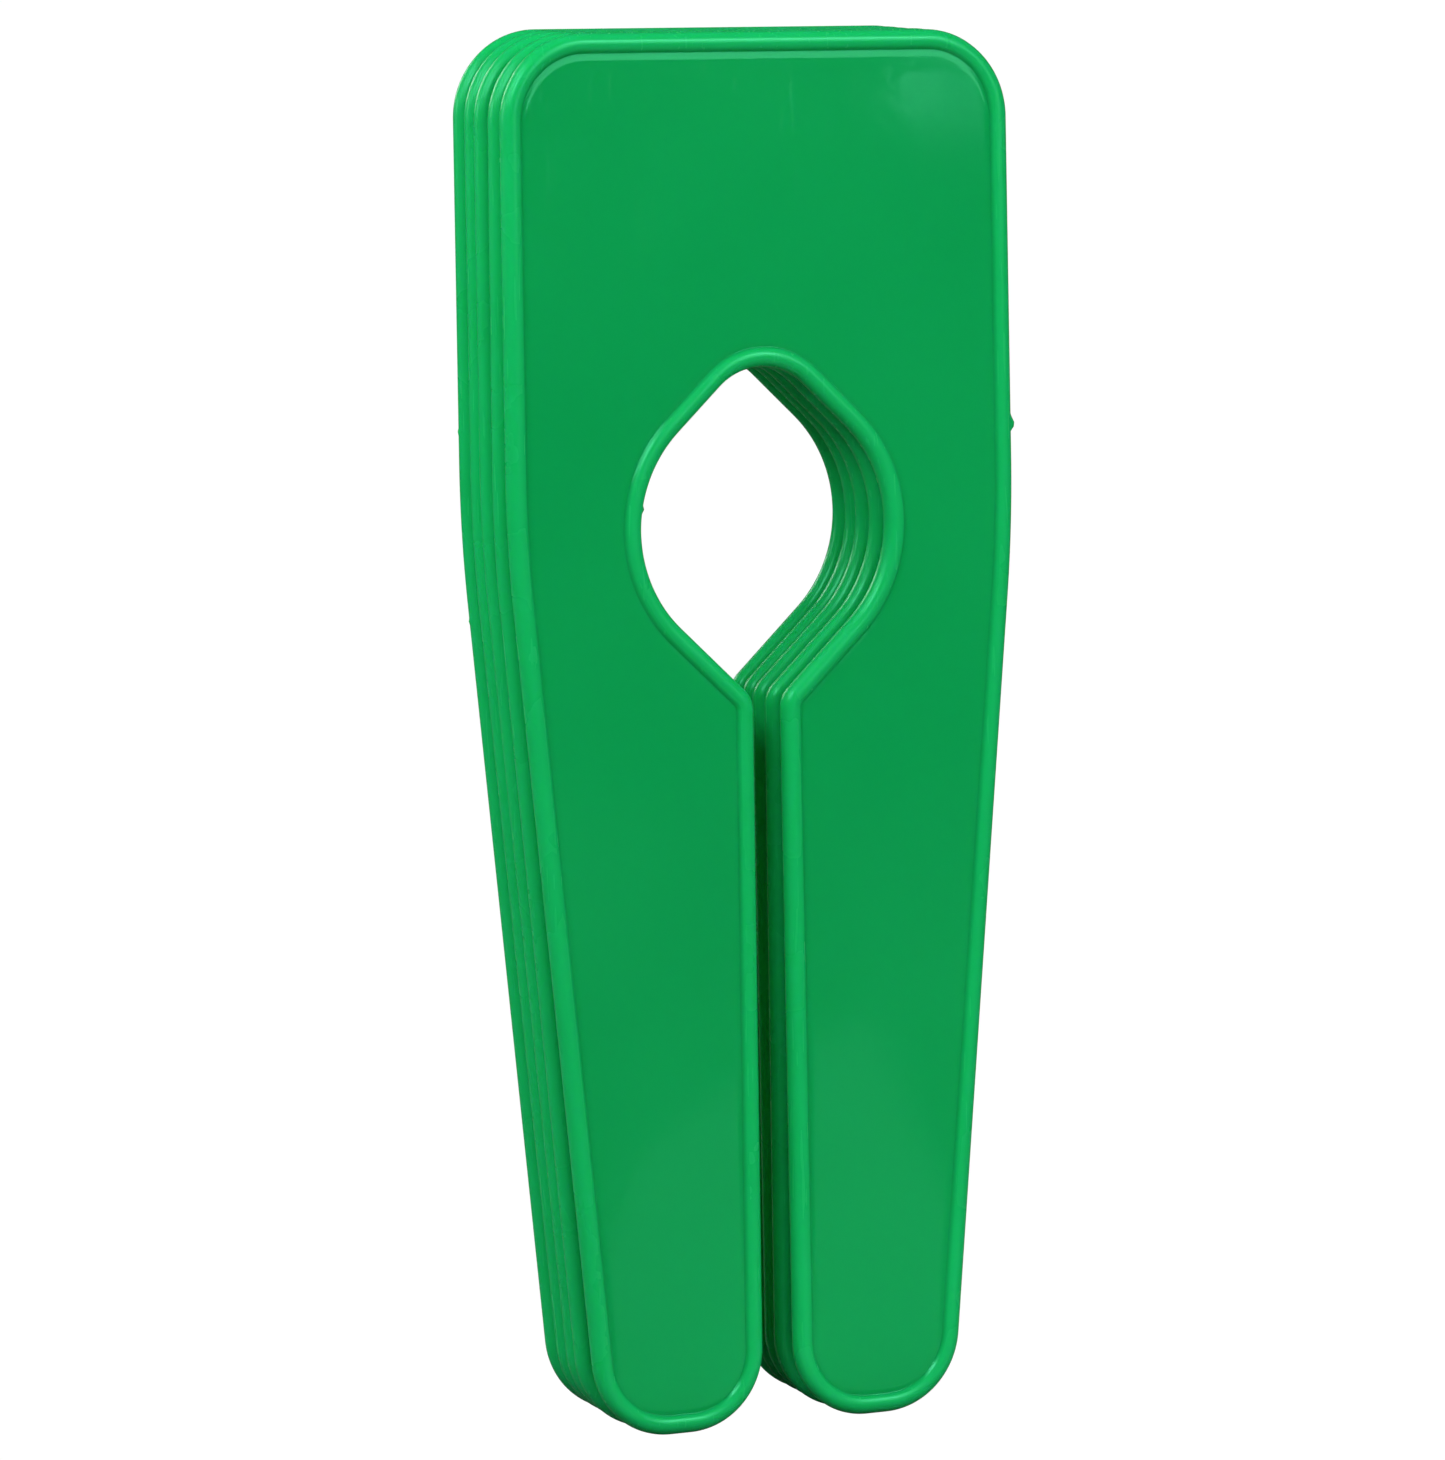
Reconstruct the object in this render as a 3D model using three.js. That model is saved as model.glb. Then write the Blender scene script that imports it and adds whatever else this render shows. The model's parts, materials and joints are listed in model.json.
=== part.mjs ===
// A set of five clothes rail size dividers, standing in a loose stack on the tips of their legs.
// Each divider is one plastic moulding: a thin flat web with a round bead along its whole edge.
// Millimetres. +X is across a divider, -Y is the front of the stack, +Z is up a divider.
// The origin is under the middle of the stack, on the surface that it stands on.
import * as THREE from 'three';
import { mergeVertices } from 'three/addons/utils/BufferGeometryUtils.js';

// ---- driving dimensions ----
const HEIGHT = 130;              // tip of the legs to the top edge
const TOP_WIDTH = 51.1;
const WAIST_WIDTH = 51.4;        // at the height where the sides start to taper
const WAIST_HEIGHT = 83.5;
const TIP_WIDTH = 36.4;          // the two tapering sides, carried down to the ground
const TOP_CORNER_RADIUS = 8.2;
const WAIST_BLEND_RADIUS = 140;
const OUTER_TIP_RADIUS = 7.7;
const INNER_TIP_RADIUS = 7.4;

const KEYHOLE_RADIUS = 12.45;    // takes a round rail of about 25 mm
const KEYHOLE_HEIGHT = 84.25;
const KEYHOLE_FLANK = THREE.MathUtils.degToRad(46.3);  // from level to where a flank leaves the circle
const KEYHOLE_CROWN_RADIUS = 6.2;
const SLIT_HALF_WIDTH_TOP = 1.45;
const SLIT_HALF_WIDTH_TIP = 1.65;
const THROAT_RADIUS = 2.6;

const BEAD_RADIUS = 1.0;
const WEB_THICKNESS = 1.2;
const BEAD_STEPS = 10;           // flats round the bead's section
const ARC_STEP = THREE.MathUtils.degToRad(10);         // the longest turn between two outline points

// How each divider stands, from the rear to the front: its mid-plane behind the front divider's,
// its shift to the right, and its lean forward in degrees. They are a loose stack, so each one
// also sits a little higher than the one in front of it.
const STACK = [
  { behind: 11.2, aside: 0, lean: 0 },
  { behind: 8.45, aside: 0, lean: 0 },
  { behind: 6.15, aside: 0, lean: 0 },
  { behind: 3.85, aside: -0.15, lean: 0.68 },
  { behind: 0, aside: 0, lean: 0 },
];
const STACK_DEPTH = STACK[0].behind;
const STAGGER = 0.14;            // how much higher each divider sits than the one in front of it

// ---- the outline of one divider ----
// Every corner is a point where two straight edges would meet, with the radius that rounds it.
// The list goes clockwise as seen from the front, over the right half.
function rightHalfCorners() {
  const sin = Math.sin(KEYHOLE_FLANK);
  const cos = Math.cos(KEYHOLE_FLANK);
  const throatDrop = (KEYHOLE_RADIUS - SLIT_HALF_WIDTH_TOP * cos) / sin;
  return [
    { x: TOP_WIDTH / 2, z: HEIGHT, radius: TOP_CORNER_RADIUS },
    { x: WAIST_WIDTH / 2, z: WAIST_HEIGHT, radius: WAIST_BLEND_RADIUS },
    { x: TIP_WIDTH / 2, z: 0, radius: OUTER_TIP_RADIUS },
    { x: SLIT_HALF_WIDTH_TIP, z: 0, radius: INNER_TIP_RADIUS },
    { x: SLIT_HALF_WIDTH_TOP, z: KEYHOLE_HEIGHT - throatDrop, radius: THROAT_RADIUS },
    { x: KEYHOLE_RADIUS / cos, z: KEYHOLE_HEIGHT, radius: KEYHOLE_RADIUS },
  ];
}

function dividerCorners() {
  const right = rightHalfCorners();
  const crown = {
    x: 0,
    z: KEYHOLE_HEIGHT + KEYHOLE_RADIUS / Math.sin(KEYHOLE_FLANK),
    radius: KEYHOLE_CROWN_RADIUS,
  };
  const left = right.map((corner) => ({ ...corner, x: -corner.x })).reverse();
  return [...right, crown, ...left];
}

// The points of one rounded corner, each with its direction out of the plastic.
function roundedCorner(before, corner, after) {
  const at = new THREE.Vector2(corner.x, corner.z);
  const toBefore = new THREE.Vector2(before.x, before.z).sub(at).normalize();
  const toAfter = new THREE.Vector2(after.x, after.z).sub(at).normalize();
  const halfAngle = Math.acos(toBefore.dot(toAfter)) / 2;
  const bisector = toBefore.clone().add(toAfter).normalize();
  const centre = at.clone().addScaledVector(bisector, corner.radius / Math.sin(halfAngle));
  const tangentLength = corner.radius / Math.tan(halfAngle);
  const start = at.clone().addScaledVector(toBefore, tangentLength).sub(centre).angle();
  const clockwise = toBefore.cross(toAfter) > 0;
  const turn = (Math.PI - 2 * halfAngle) * (clockwise ? -1 : 1);
  const steps = Math.max(2, Math.ceil(Math.abs(turn) / ARC_STEP));

  return Array.from({ length: steps + 1 }, (_, i) => {
    const angle = start + (turn * i) / steps;
    const spoke = new THREE.Vector2(Math.cos(angle), Math.sin(angle));
    return {
      point: centre.clone().addScaledVector(spoke, corner.radius),
      outward: clockwise ? spoke : spoke.negate(),
    };
  });
}

function dividerOutline() {
  const corners = dividerCorners();
  return corners.flatMap((corner, i) => {
    const before = corners[(i + corners.length - 1) % corners.length];
    const after = corners[(i + 1) % corners.length];
    return roundedCorner(before, corner, after);
  });
}

// ---- the section of the edge ----
// From the front face of the web, round the outside of the bead, to the back face of the web.
function beadSection() {
  const webSide = Math.PI - Math.asin(WEB_THICKNESS / 2 / BEAD_RADIUS);
  return Array.from({ length: BEAD_STEPS + 1 }, (_, i) => {
    const angle = webSide * (1 - (2 * i) / BEAD_STEPS);
    return {
      inset: BEAD_RADIUS * (1 - Math.cos(angle)),
      y: -BEAD_RADIUS * Math.sin(angle),
    };
  });
}

// ---- one moulding ----
// A loop of the outline for each station of the section, joined by walls and closed by the web.
function dividerGeometry() {
  const outline = dividerOutline();
  const loops = beadSection().map(({ inset, y }) => outline.map(({ point, outward }) => {
    const moved = point.clone().addScaledVector(outward, -inset);
    return new THREE.Vector3(moved.x, y, moved.y);
  }));

  const count = outline.length;
  const lastLoop = (loops.length - 1) * count;
  const triangles = [];
  for (let row = 0; row < loops.length - 1; row += 1) {
    for (let i = 0; i < count; i += 1) {
      const next = (i + 1) % count;
      const [a, b] = [row * count + i, row * count + next];
      const [c, d] = [a + count, b + count];
      triangles.push(a, b, d, a, d, c);
    }
  }
  const web = loops[0].map(({ x, z }) => new THREE.Vector2(x, z));
  for (const [a, b, c] of THREE.ShapeUtils.triangulateShape(web, [])) {
    triangles.push(a, b, c);
    triangles.push(lastLoop + a, lastLoop + c, lastLoop + b);
  }

  const geometry = new THREE.BufferGeometry().setFromPoints(loops.flat());
  geometry.setIndex(triangles);
  const merged = mergeVertices(geometry);
  merged.computeVertexNormals();
  return merged;
}

// ---- the stack ----
const set = new THREE.Group();
const geometry = dividerGeometry();
STACK.forEach(({ behind, aside, lean }, i) => {
  const plastic = new THREE.MeshStandardMaterial({ color: 0x0b984a, roughness: 0.3, metalness: 0 });
  const divider = new THREE.Mesh(geometry, plastic);
  divider.name = `divider_${i + 1}`;
  const raised = STAGGER * (STACK.length - 1 - i);
  divider.position.set(aside, behind - STACK_DEPTH / 2, raised);
  divider.rotation.x = THREE.MathUtils.degToRad(lean);
  set.add(divider);
});

export default set;
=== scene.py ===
"""Five clothes rail size dividers, standing in a loose stack on the tips of their legs.

Everything is in metres in the frame's axes, apart from the moulding's own drawing, which is in
millimetres: +Z is up a divider, -Y is the front of the stack.
"""
import json
import math

import bmesh
import bpy
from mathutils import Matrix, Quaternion, Vector


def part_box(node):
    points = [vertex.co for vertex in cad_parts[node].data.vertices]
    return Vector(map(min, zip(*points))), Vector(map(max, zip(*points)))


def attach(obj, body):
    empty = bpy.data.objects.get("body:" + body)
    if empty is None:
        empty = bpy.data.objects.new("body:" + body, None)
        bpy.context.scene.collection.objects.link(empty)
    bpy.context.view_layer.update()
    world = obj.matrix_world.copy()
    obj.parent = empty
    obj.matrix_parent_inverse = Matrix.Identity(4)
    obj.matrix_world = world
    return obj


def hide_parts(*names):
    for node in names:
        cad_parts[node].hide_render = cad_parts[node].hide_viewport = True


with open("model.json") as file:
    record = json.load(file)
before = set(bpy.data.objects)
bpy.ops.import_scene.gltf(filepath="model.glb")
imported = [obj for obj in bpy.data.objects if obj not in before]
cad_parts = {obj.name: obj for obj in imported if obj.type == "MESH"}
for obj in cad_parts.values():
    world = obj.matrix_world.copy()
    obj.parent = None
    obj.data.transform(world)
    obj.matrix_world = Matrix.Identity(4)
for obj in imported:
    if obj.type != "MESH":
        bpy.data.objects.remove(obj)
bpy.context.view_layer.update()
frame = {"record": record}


# ---- the camera ----
# It looks at the stack from the left of its front and a little from above, through a long lens,
# and it is turned by a degree.
MM = 0.001
AIM = Vector((-4.965, -6.6, 65.675)) * MM
DISTANCE = 613.70 * MM
AZIMUTH = math.radians(-24.139)
ELEVATION = math.radians(5.267)
ROLL = math.radians(-1.002)
FOCAL_LENGTH = 163.49           # this and the next are in millimetres, as Blender takes them
SENSOR_WIDTH = 36


def direction(azimuth, elevation):
    """From the stack to a place round it. Azimuth runs from the front round to the right."""
    level = math.cos(elevation)
    return Vector((math.sin(azimuth) * level, -math.cos(azimuth) * level, math.sin(elevation)))


scene = bpy.context.scene
back = direction(AZIMUTH, ELEVATION)
camera = bpy.data.objects.new("camera", bpy.data.cameras.new("camera"))
camera.data.lens = FOCAL_LENGTH
camera.data.sensor_width = SENSOR_WIDTH
camera.data.clip_start = 10 * MM
camera.rotation_mode = "QUATERNION"
camera.location = AIM + back * DISTANCE
camera.rotation_quaternion = (-back).to_track_quat("-Z", "Y") @ Quaternion((0, 0, 1), ROLL)
scene.collection.objects.link(camera)
scene.camera = camera


# ---- the table and the studio ----
# The stack stands on a dark grey table, with a white card in front of it that brightens the feet.
# Softboxes stand round it at the front, the left and the back. The camera sees only white.
TABLE_GREY = (0.13, 0.13, 0.13, 1)
TABLE_HEIGHT = -0.3 * MM
TABLE_CORNERS = [(-0.8, -0.6), (0.8, -0.6), (0.8, 0.6), (-0.8, 0.6)]
CARD_WHITE = (0.70, 0.70, 0.70, 1)
CARD_HEIGHT = -0.1 * MM
CARD_CORNERS = [(0.055, -0.165), (0.13, -0.26), (0.03, -0.012), (-0.022, -0.012)]
MATT_ROUGHNESS = 0.8
SEEN_WHITE = 1.02
ROOM_LIGHT = 0.04


def add(tree, kind, inputs=None, **settings):
    """A new node of a tree, with its settings and what feeds each input: a socket, a list of
    sockets for an input that takes several, or a plain value."""
    made = tree.nodes.new(kind)
    for name, value in settings.items():
        setattr(made, name, value)
    for name, value in (inputs or {}).items():
        for source in reversed(value) if isinstance(value, list) else [value]:
            if isinstance(source, bpy.types.NodeSocket):
                tree.links.new(source, made.inputs[name])
            else:
                made.inputs[name].default_value = source
    return made


def camera_ray(tree):
    return add(tree, "ShaderNodeLightPath").outputs["Is Camera Ray"]


def matt_material(name, colour):
    """Matt in the light that it gives the stack, and the backdrop's white to the camera."""
    made = bpy.data.materials.new(name)
    made.use_nodes = True
    tree = made.node_tree
    matt = tree.nodes["Principled BSDF"]
    matt.inputs["Base Color"].default_value = colour
    matt.inputs["Roughness"].default_value = MATT_ROUGHNESS
    white = add(tree, "ShaderNodeEmission", {"Strength": SEEN_WHITE}).outputs[0]
    chosen = add(tree, "ShaderNodeMixShader", {0: camera_ray(tree), 1: matt.outputs[0], 2: white})
    tree.links.new(chosen.outputs[0], tree.nodes["Material Output"].inputs["Surface"])
    return made


def sheet(name, corners, height, colour):
    """A flat sheet lying at a height, from its corners seen from above, counterclockwise."""
    mesh = bpy.data.meshes.new(name)
    mesh.from_pydata([(x, y, height) for x, y in corners], [], [range(len(corners))])
    mesh.materials.append(matt_material(name, colour))
    laid = bpy.data.objects.new(name, mesh)
    scene.collection.objects.link(laid)


def softbox(name, azimuth, elevation, distance, width, height, power):
    """A rectangular softbox facing the stack, with its two angles in degrees."""
    away = direction(math.radians(azimuth), math.radians(elevation))
    light = bpy.data.lights.new(name, "AREA")
    light.shape = "RECTANGLE"
    light.size = width
    light.size_y = height
    light.energy = power
    lamp = bpy.data.objects.new(name, light)
    lamp.location = AIM + away * distance
    lamp.rotation_mode = "QUATERNION"
    lamp.rotation_quaternion = away.to_track_quat("Z", "Y")
    scene.collection.objects.link(lamp)


def room_light():
    """White where the camera sees it, and only a dim fill for the stack itself."""
    world = bpy.data.worlds.new("studio")
    world.use_nodes = True
    tree = world.node_tree
    strength = add(tree, "ShaderNodeMapRange", {
        "Value": camera_ray(tree), "To Min": ROOM_LIGHT, "To Max": SEEN_WHITE,
    })
    background = tree.nodes["Background"]
    background.inputs["Color"].default_value = (1, 1, 1, 1)
    tree.links.new(strength.outputs["Result"], background.inputs["Strength"])
    scene.world = world


sheet("table_top", TABLE_CORNERS, TABLE_HEIGHT, TABLE_GREY)
sheet("card", CARD_CORNERS, CARD_HEIGHT, CARD_WHITE)
room_light()

# The front softbox lights the flat faces, and the lamp within it brightens the beads' highlights.
softbox("front_softbox", 24, 24, distance=0.6, width=0.34, height=0.36, power=1.36)
softbox("front_lamp", 27, 30, distance=0.6, width=0.14, height=0.14, power=0.55)
# The three on the left light the row of beads there, and the front bead most of all.
softbox("left_softbox", -80, 42, distance=0.43, width=0.24, height=0.24, power=0.74)
softbox("back_left_softbox", -112, 18, distance=0.55, width=0.16, height=0.16, power=0.32)
softbox("upper_left_softbox", -45, 36, distance=0.6, width=0.18, height=0.18, power=1.08)
# The back one keeps the back from going dark. The corner lamp is seen only as a faint reflection
# in the front face, near its upper right corner.
softbox("back_softbox", -158, 24, distance=0.8, width=0.3, height=0.3, power=1.1)
softbox("corner_lamp", 27.7, 4.4, distance=0.813, width=0.02, height=0.004, power=0.0022)
scene.view_settings.view_transform = "Standard"


# ---- the plastic ----
# Every divider is the same green plastic, coloured all through and moulded against a polished
# tool: glossy, with slight flow shades, a faint orange peel and fine scuffs. The thicker bead has
# a lighter green painted into its colour, a painted glow for the light that comes back out of it,
# and is a little less polished.
PLASTIC_GREEN = (0.0040, 0.46, 0.112, 1)
PLASTIC_GREEN_FLOW = (0.0055, 0.485, 0.121, 1)
BEAD_GREEN_PAINTED_LIGHT = (0.0085, 0.60, 0.165, 1)
BEAD_PAINTED_LIGHT_SHARE = (0.86, 1)            # how strongly the bead's painted lighter green shows, in patches
WEB_ROUGHNESS = (0.05, 0.09)
BEAD_ROUGHER_BY = 0.2
SCUFF_ROUGHER_BY = 0.12
SCUFF_STRETCH = (1, 1, 0.06)
SCUFF_SLANT = (0.2, 0.5, 0)
GLOSS_TINT = (0.18, 1.0, 0.62, 1)
REFRACTIVE_INDEX = 1.5
GLOW_DEPTH = 1.2 * MM
GLOW_DEPTH_SHARES = (0.3, 1.0, 0.5)     # of that depth, for red, green and blue
MOST_OF_NOISE = (0.35, 0.65)
WIDER_NOISE = (0.3, 0.7)
HIGHEST_OF_NOISE = (0.66, 0.74)


def maths(tree, operation, first, second=0.0):
    return add(tree, "ShaderNodeMath", {0: first, 1: second}, operation=operation).outputs[0]


def noise(tree, place, grain, detail=2.0):
    """Noise of a grain size in metres, from 0 to 1."""
    made = add(tree, "ShaderNodeTexNoise", {"Vector": place, "Scale": 1 / grain, "Detail": detail})
    return made.outputs["Fac"]


def ranged(tree, value, span, to_span):
    """A value taken from one span, with both of its ends held, to another."""
    ends = {"From Min": span[0], "From Max": span[1], "To Min": to_span[0], "To Max": to_span[1]}
    return add(tree, "ShaderNodeMapRange", {"Value": value, **ends}).outputs["Result"]


def mixed_colour(tree, share, first, second):
    """Two colours mixed. The mix node's sockets go by number, because those for numbers, vectors
    and colours have the same names."""
    return add(tree, "ShaderNodeMix", {0: share, 6: first, 7: second}, data_type="RGBA").outputs[2]


def plastic_colour(tree, place, rim):
    flow = ranged(tree, noise(tree, place, 35 * MM), MOST_OF_NOISE, (0, 1))
    web = mixed_colour(tree, flow, PLASTIC_GREEN, PLASTIC_GREEN_FLOW)
    # The bead's lighter green is painted light: a painted glow for the light that comes back out
    # of the thick plastic.
    painted_light_patches = ranged(tree, noise(tree, place, 9 * MM), MOST_OF_NOISE, BEAD_PAINTED_LIGHT_SHARE)
    return mixed_colour(tree, maths(tree, "MULTIPLY", rim, painted_light_patches), web, BEAD_GREEN_PAINTED_LIGHT)


def plastic_roughness(tree, place, rim):
    smudges = ranged(tree, noise(tree, place, 12 * MM, detail=4), WIDER_NOISE, WEB_ROUGHNESS)
    smooth = maths(tree, "ADD", maths(tree, "MULTIPLY", rim, BEAD_ROUGHER_BY), smudges)
    slanted = add(tree, "ShaderNodeMapping", {
        "Vector": place, "Scale": SCUFF_STRETCH, "Rotation": SCUFF_SLANT,
    }).outputs["Vector"]
    lines = noise(tree, slanted, 0.4 * MM, detail=1)
    scuffs = ranged(tree, lines, HIGHEST_OF_NOISE, (0, SCUFF_ROUGHER_BY))
    return maths(tree, "ADD", smooth, scuffs)


def plastic_relief(tree, place):
    """The orange peel, on broad shallow waves where the plastic sank as it cooled."""
    peel = add(tree, "ShaderNodeBump", {
        "Height": noise(tree, place, 1.1 * MM), "Strength": 0.05, "Distance": 0.1 * MM,
    })
    return add(tree, "ShaderNodeBump", {
        "Height": noise(tree, place, 18 * MM, detail=0), "Strength": 0.25, "Distance": 0.2 * MM,
        "Normal": peel.outputs["Normal"],
    }).outputs["Normal"]


def green_plastic():
    material = bpy.data.materials.new("green_plastic")
    material.use_nodes = True
    tree = material.node_tree
    place = add(tree, "ShaderNodeTexCoord").outputs["Object"]
    rim = add(tree, "ShaderNodeAttribute", attribute_name="rim").outputs["Fac"]

    shader = tree.nodes["Principled BSDF"]
    tree.links.new(plastic_colour(tree, place, rim), shader.inputs["Base Color"])
    tree.links.new(plastic_roughness(tree, place, rim), shader.inputs["Roughness"])
    tree.links.new(plastic_relief(tree, place), shader.inputs["Normal"])
    shader.inputs["IOR"].default_value = REFRACTIVE_INDEX
    shader.inputs["Specular Tint"].default_value = GLOSS_TINT
    shader.inputs["Subsurface Weight"].default_value = 1.0
    shader.inputs["Subsurface Radius"].default_value = GLOW_DEPTH_SHARES
    shader.inputs["Subsurface Scale"].default_value = GLOW_DEPTH
    return material


plastic = green_plastic()


# ---- the dividers ----
# Each is one injection moulding: a flat web with a round bead along its whole edge, a keyhole
# that clips over a clothes rail, and a slit from the keyhole to the tips of its two legs.
HEIGHT = 130
TOP_WIDTH = 51.1
WAIST_WIDTH = 51.4
WAIST_HEIGHT = 83.5
TIP_WIDTH = 36.4
TOP_CORNER_RADIUS = 8.2
WAIST_BLEND_RADIUS = 140
OUTER_TIP_RADIUS = 7.7
INNER_TIP_RADIUS = 7.4
KEYHOLE_RADIUS = 12.45
KEYHOLE_HEIGHT = 84.25
KEYHOLE_FLANK = math.radians(46.3)
KEYHOLE_CROWN_RADIUS = 6.2
SLIT_HALF_WIDTH_TOP = 1.45
SLIT_HALF_WIDTH_TIP = 1.65
THROAT_RADIUS = 2.6
BEAD_RADIUS = 1.0

# The sizes that the tree takes. The groove inside the bead is a small concave round, and the
# web's shoulder falls into it by about 0.06 mm.
EDGE_SIZES = {
    "Bead Radius": BEAD_RADIUS,
    "Web Half Thickness": 0.6,
    "Groove Radius": 0.12,
    "Shoulder Radius": 3.4,
    "Shoulder Slope": math.radians(10.5),
    "Station Spacing": 0.42,
    "Ejector Mark Depth": 0.06,
}
CORNER_STEPS = 40
BEAD_STEPS = 26
GROOVE_STEPS = 5
SHOULDER_STEPS = 5
MARK_STEPS = 48
MERGE_DISTANCE = 0.002

# The bead's painted lighter green, which stands in for the light coming back out of it, and its
# lower polish end this many bead radii in from the rim, and before that they fade at this rate for
# each millimetre.
RIM_REACH = 1.85
RIM_FADE = 3

# What the tool left behind: nubs as (x, height, towards the front, radius) on a divider's edge.
# Each nub rises by a share of its radius, and keeps that height over a share of it.
WAIST_EDGE = WAIST_WIDTH / 2
NUBS = {
    "divider_1": [(-WAIST_EDGE + 0.6, 75.5, 0, 0.35), (-WAIST_EDGE, 93, 0, 0.3)],
    "divider_5": [
        (WAIST_EDGE, 93, 0.1, 0.75),
        (-KEYHOLE_RADIUS, 86.3, 0, 0.45),
        (-SLIT_HALF_WIDTH_TOP - 2, 61, 0.55, 0.22),
    ],
}
NUB_RISE = 0.45
NUB_CROWN = 0.45

# Round marks of the ejector pins on the back of the web, as (x, height, radius).
MARK_RADIUS = 2.2
EJECTOR_MARKS = [
    (side * x, z, MARK_RADIUS) for side in (-1, 1) for x, z in ((18, 119), (19, 62), (9.5, 13))
]
DRAWING_RADII = ("corner_radius", "nub_radius", "mark_radius")


def outline_corners():
    """Where the straight edges would meet, with the radius that rounds each corner."""
    sin, cos = math.sin(KEYHOLE_FLANK), math.cos(KEYHOLE_FLANK)
    throat_height = KEYHOLE_HEIGHT - (KEYHOLE_RADIUS - SLIT_HALF_WIDTH_TOP * cos) / sin
    right = [
        (TOP_WIDTH / 2, HEIGHT, TOP_CORNER_RADIUS),
        (WAIST_WIDTH / 2, WAIST_HEIGHT, WAIST_BLEND_RADIUS),
        (TIP_WIDTH / 2, 0, OUTER_TIP_RADIUS),
        (SLIT_HALF_WIDTH_TIP, 0, INNER_TIP_RADIUS),
        (SLIT_HALF_WIDTH_TOP, throat_height, THROAT_RADIUS),
        (KEYHOLE_RADIUS / cos, KEYHOLE_HEIGHT, KEYHOLE_RADIUS),
    ]
    crown = (0, KEYHOLE_HEIGHT + KEYHOLE_RADIUS / sin, KEYHOLE_CROWN_RADIUS)
    return [*right, crown, *((-x, z, radius) for x, z, radius in reversed(right))]


def named(tree, name):
    return add(tree, "GeometryNodeInputNamedAttribute", {"Name": name}).outputs["Attribute"]


def position(tree):
    return add(tree, "GeometryNodeInputPosition").outputs[0]


def position_along(tree, axis):
    return add(tree, "ShaderNodeSeparateXYZ", {0: position(tree)}).outputs[axis]


def vector(tree, **parts):
    return add(tree, "ShaderNodeCombineXYZ", parts).outputs[0]


def joined(tree, pieces):
    return add(tree, "GeometryNodeJoinGeometry", {0: pieces}).outputs[0]


def merged(tree, geometry):
    inputs = {"Geometry": geometry, "Distance": MERGE_DISTANCE}
    return add(tree, "GeometryNodeMergeByDistance", inputs).outputs[0]


def moved(tree, geometry, by):
    return add(tree, "GeometryNodeTransform", {"Geometry": geometry, "Translation": by}).outputs[0]


def filled(tree, loops, mode):
    return add(tree, "GeometryNodeFillCurve", {"Curve": loops}, mode=mode).outputs[0]


def points_with(tree, drawing, radius_name):
    """The drawing's points that have a radius of this kind."""
    inputs = {"Geometry": drawing, "Selection": named(tree, radius_name)}
    return add(tree, "GeometryNodeSeparateGeometry", inputs).outputs[0]


def edge_section(tree, sizes):
    """The section of the edge, as arcs from the front of the web round the bead to its back.
    Its X runs into the plastic from the rim, and its Y to the front."""
    def m(operation, first, second=0.0):
        return maths(tree, operation, first, second)

    bead, web = sizes["Bead Radius"], sizes["Web Half Thickness"]
    groove, shoulder = sizes["Groove Radius"], sizes["Shoulder Radius"]
    slope = sizes["Shoulder Slope"]
    shoulder_centre = m("SUBTRACT", web, shoulder)
    reach = m("ADD", shoulder, groove)
    groove_height = m("ADD", shoulder_centre, m("MULTIPLY", reach, m("COSINE", slope)))
    to_groove = m("ADD", bead, groove)
    square = m("SUBTRACT", m("POWER", to_groove, 2), m("POWER", groove_height, 2))
    groove_in = m("SQRT", square)
    lift = m("ARCTAN2", groove_height, groove_in)
    groove_inset = m("ADD", bead, groove_in)
    shoulder_inset = m("ADD", groove_inset, m("MULTIPLY", reach, m("SINE", slope)))

    def arc(radius, inset, height, start, sweep, steps):
        curve = add(tree, "GeometryNodeCurveArc", {
            "Resolution": steps + 1, "Radius": radius, "Start Angle": start, "Sweep Angle": sweep,
        }, mode="RADIUS").outputs["Curve"]
        return moved(tree, curve, vector(tree, X=inset, Y=height))

    quarter = math.pi / 2
    bead_sweep = m("SUBTRACT", 4 * quarter, m("MULTIPLY", lift, 2))
    groove_sweep = m("SUBTRACT", m("SUBTRACT", lift, quarter), slope)
    into_groove, out_of_groove = m("ADD", slope, 3 * quarter), m("SUBTRACT", 2 * quarter, lift)
    section = joined(tree, [
        arc(shoulder, shoulder_inset, shoulder_centre, quarter, slope, SHOULDER_STEPS),
        arc(groove, groove_inset, groove_height, into_groove, groove_sweep, GROOVE_STEPS),
        arc(bead, bead, 0.0, lift, bead_sweep, BEAD_STEPS),
        arc(groove, groove_inset, m("MULTIPLY", groove_height, -1), out_of_groove, groove_sweep,
            GROOVE_STEPS),
        arc(shoulder, shoulder_inset, m("MULTIPLY", shoulder_centre, -1),
            m("SUBTRACT", 3 * quarter, slope), slope, SHOULDER_STEPS),
    ])
    # How far a point is into the bead, for the bead's painted lighter green and its rougher
    # polish.
    inside = m("SUBTRACT", m("MULTIPLY", bead, RIM_REACH), position_along(tree, "X"))
    rim = add(tree, "ShaderNodeClamp", {"Value": m("MULTIPLY", inside, RIM_FADE)}).outputs[0]
    stored = {"Geometry": section, "Name": "rim", "Value": rim}
    return add(tree, "GeometryNodeStoreNamedAttribute", stored).outputs[0]


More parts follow.
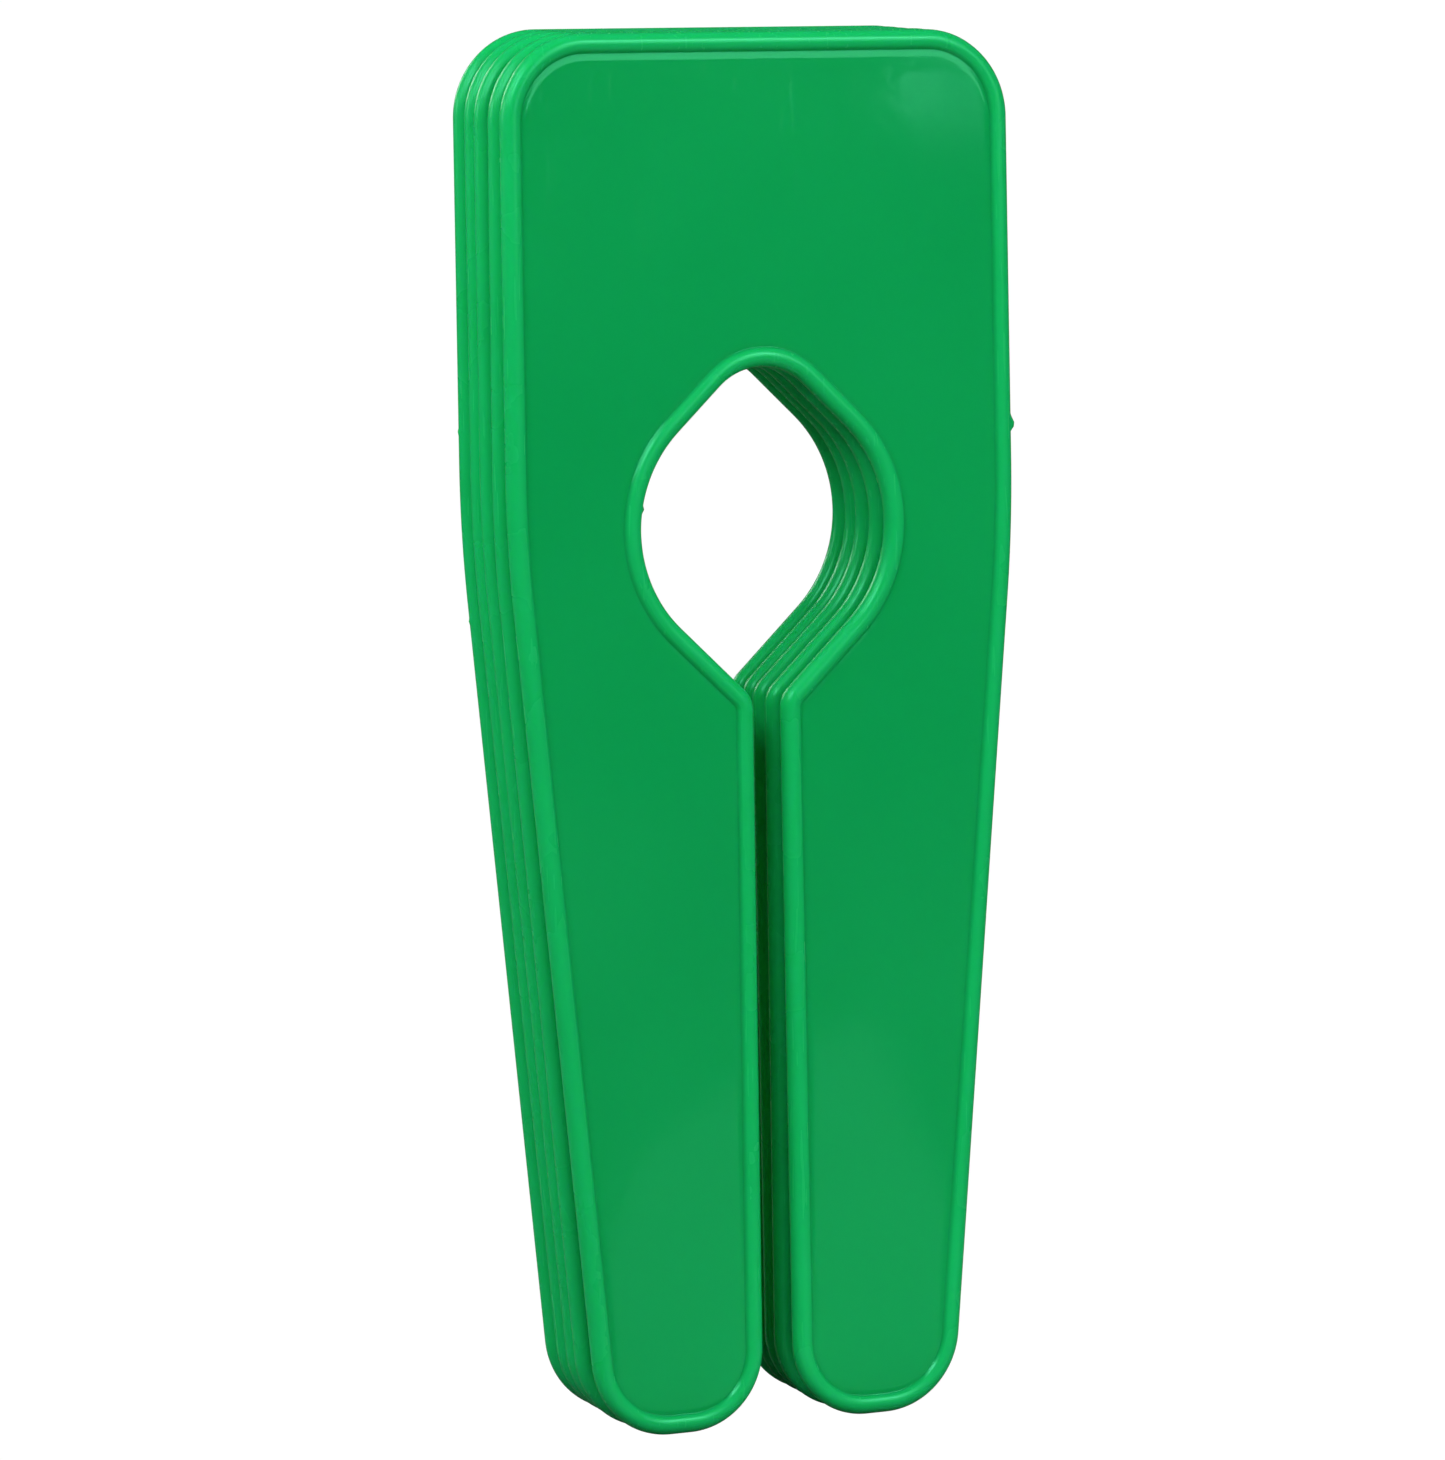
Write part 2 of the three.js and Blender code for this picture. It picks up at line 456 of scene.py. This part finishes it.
def swept_edge(tree, given):
    """The edge section, swept round the rounded outline."""
    outline = add(tree, "GeometryNodeMeshToCurve", {"Mesh": given["Geometry"]}).outputs[0]
    outline = add(tree, "GeometryNodeFilletCurve", {
        "Curve": outline, "Count": given["Corner Steps"], "Radius": named(tree, "corner_radius"),
    }, mode="POLY").outputs[0]
    outline = add(tree, "GeometryNodeResampleCurve", {
        "Curve": outline, "Length": given["Station Spacing"],
    }, mode="LENGTH").outputs[0]
    outline = add(tree, "GeometryNodeSetCurveNormal", {"Curve": outline}, mode="Z_UP").outputs[0]
    sweep = {"Curve": outline, "Profile Curve": edge_section(tree, given)}
    return merged(tree, add(tree, "GeometryNodeCurveToMesh", sweep).outputs[0])


def flat_webs(tree, given, edge):
    """The flat faces that close the edge's two open sides, with ejector marks in the back one."""
    faces = add(tree, "GeometryNodeInputMeshEdgeNeighbors").outputs[0]
    open_edge = maths(tree, "LESS_THAN", faces, 1.5)    # one face, where a closed edge has two
    in_front = maths(tree, "GREATER_THAN", position_along(tree, "Z"), 0.0)
    front_edge = maths(tree, "MULTIPLY", open_edge, in_front)
    loop = add(tree, "GeometryNodeMeshToCurve", {"Mesh": edge, "Selection": front_edge}).outputs[0]

    ring = add(tree, "GeometryNodeCurvePrimitiveCircle", {"Resolution": MARK_STEPS, "Radius": 1.0})
    rings = add(tree, "GeometryNodeInstanceOnPoints", {
        "Points": points_with(tree, given["Geometry"], "mark_radius"),
        "Instance": ring.outputs[0], "Scale": named(tree, "mark_radius"),
    }).outputs[0]
    rings = add(tree, "GeometryNodeRealizeInstances", {"Geometry": rings}).outputs[0]
    marks = add(tree, "GeometryNodeExtrudeMesh", {
        "Mesh": filled(tree, rings, "NGONS"), "Offset Scale": given["Ejector Mark Depth"],
        "Individual": False,
    }).outputs[0]
    pierced = filled(tree, joined(tree, [loop, rings]), "TRIANGLES")

    to_front = given["Web Half Thickness"]
    to_back = maths(tree, "MULTIPLY", to_front, -1)
    front_web = moved(tree, filled(tree, loop, "TRIANGLES"), vector(tree, Z=to_front))
    back_web = moved(tree, joined(tree, [pierced, marks]), vector(tree, Z=to_back))
    webs = {"Geometry": joined(tree, [front_web, back_web]), "Shade Smooth": False}
    return add(tree, "GeometryNodeSetShadeSmooth", webs).outputs[0]


def with_nubs(tree, given, moulding):
    """The moulding with its surface pushed out into a low round nub about each nub's point."""
    nubs = points_with(tree, given["Geometry"], "nub_radius")
    here = position(tree)
    nearest = add(tree, "GeometryNodeSampleNearest", {"Geometry": nubs}).outputs[0]

    def at_nearest(value, data_type):
        sampled = {"Geometry": nubs, "Value": value, "Index": nearest}
        return add(tree, "GeometryNodeSampleIndex", sampled, data_type=data_type).outputs[0]

    place = at_nearest(here, "FLOAT_VECTOR")
    radius = at_nearest(named(tree, "nub_radius"), "FLOAT")
    away = add(tree, "ShaderNodeVectorMath", {0: here, 1: place}, operation="DISTANCE")
    rise = add(tree, "ShaderNodeMapRange", {
        "Value": maths(tree, "DIVIDE", away.outputs["Value"], radius),
        "From Min": 1.0, "From Max": NUB_CROWN, "To Min": 0.0, "To Max": NUB_RISE,
    }, interpolation_type="SMOOTHSTEP").outputs[0]
    offset = add(tree, "ShaderNodeVectorMath", {
        0: add(tree, "GeometryNodeInputNormal").outputs[0],
        "Scale": maths(tree, "MULTIPLY", rise, radius),
    }, operation="SCALE").outputs[0]
    pushed = {"Geometry": moulding, "Offset": offset}
    return add(tree, "GeometryNodeSetPosition", pushed).outputs[0]


def moulding_tree():
    """The whole moulding, made from its drawing. The tree works in millimetres, with the moulding
    lying on its back, and stands it in the frame in metres near its end."""
    tree = bpy.data.node_groups.new("divider_moulding", "GeometryNodeTree")
    taken = {
        "Geometry": "NodeSocketGeometry", **dict.fromkeys(EDGE_SIZES, "NodeSocketFloat"),
        "Corner Steps": "NodeSocketInt", "Foot": "NodeSocketVector", "Turn": "NodeSocketVector",
        "Plastic": "NodeSocketMaterial",
    }
    for name, kind in taken.items():
        tree.interface.new_socket(name, in_out="INPUT", socket_type=kind)
    tree.interface.new_socket("Geometry", in_out="OUTPUT", socket_type="NodeSocketGeometry")
    given = add(tree, "NodeGroupInput").outputs

    edge = swept_edge(tree, given)
    whole = merged(tree, joined(tree, [edge, flat_webs(tree, given, edge)]))
    standing = add(tree, "GeometryNodeTransform", {
        "Geometry": with_nubs(tree, given, whole), "Translation": given["Foot"],
        "Rotation": given["Turn"], "Scale": (MM, MM, MM),
    }).outputs[0]
    standing = add(tree, "GeometryNodeRealizeInstances", {"Geometry": standing}).outputs[0]
    finished = add(tree, "GeometryNodeSetMaterial", {
        "Geometry": standing, "Material": given["Plastic"],
    }).outputs[0]
    add(tree, "NodeGroupOutput", {"Geometry": finished})
    return tree


def moulding_drawing(node):
    """The drawing that the tree works from: the outline's corners as a closed loop, then a loose
    point for each nub and each ejector mark, with their radii as attributes."""
    corners = outline_corners()
    nubs = NUBS.get(node, [])
    count = len(corners)
    places = [(x, z, 0) for x, z, _ in corners]
    places += [(x, z, y) for x, z, y, _ in nubs]
    places += [(x, z, 0) for x, z, _ in EJECTOR_MARKS]
    radii = (
        [corner[-1] for corner in corners] + [0] * (len(nubs) + len(EJECTOR_MARKS)),
        [0] * count + [nub[-1] for nub in nubs] + [0] * len(EJECTOR_MARKS),
        [0] * (count + len(nubs)) + [mark[-1] for mark in EJECTOR_MARKS],
    )
    mesh = bpy.data.meshes.new(node + "_drawing")
    mesh.from_pydata(places, [(i, (i + 1) % count) for i in range(count)], [])
    for name, values in zip(DRAWING_RADII, radii):
        mesh.attributes.new(name, "FLOAT", "POINT").data.foreach_set("value", values)
    return mesh


def stance(node):
    """Where the foot of a divider's middle plane stands, and how far it leans to the front, both
    from its box in the frame."""
    low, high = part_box(node)
    rounds = 2 * BEAD_RADIUS * MM
    lean = math.asin(max(0, high.y - low.y - rounds) / (HEIGHT * MM - rounds))
    foot_y = high.y - rounds / 2 + rounds / 2 * math.sin(lean)
    return Vector(((low.x + high.x) / 2, foot_y, low.z)), lean


def make_divider(tree, node, body):
    divider = bpy.data.objects.new(node + "_moulding", moulding_drawing(node))
    scene.collection.objects.link(divider)
    foot, lean = stance(node)
    values = {
        **EDGE_SIZES, "Corner Steps": CORNER_STEPS, "Foot": foot,
        "Turn": Vector((math.pi / 2 + lean, 0, 0)), "Plastic": plastic,
    }
    modifier = divider.modifiers.new("moulding", "NODES")
    modifier.node_group = tree
    for socket in tree.interface.items_tree:
        if socket.in_out == "INPUT" and socket.name in values:
            modifier[socket.identifier] = values[socket.name]

    evaluated = divider.evaluated_get(bpy.context.evaluated_depsgraph_get())
    moulded = bpy.data.meshes.new_from_object(evaluated)
    divider.modifiers.clear()
    divider.data = moulded
    solid = bmesh.new()     # turns every face outwards, because the webs are filled facing up
    solid.from_mesh(moulded)
    bmesh.ops.recalc_face_normals(solid, faces=solid.faces)
    solid.to_mesh(moulded)
    solid.free()
    for name in DRAWING_RADII:
        moulded.attributes.remove(moulded.attributes[name])

    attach(divider, body)
    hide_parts(node)


moulding = moulding_tree()
for body, nodes in frame["record"]["behaviour"]["bodies"].items():
    make_divider(moulding, nodes[0], body)
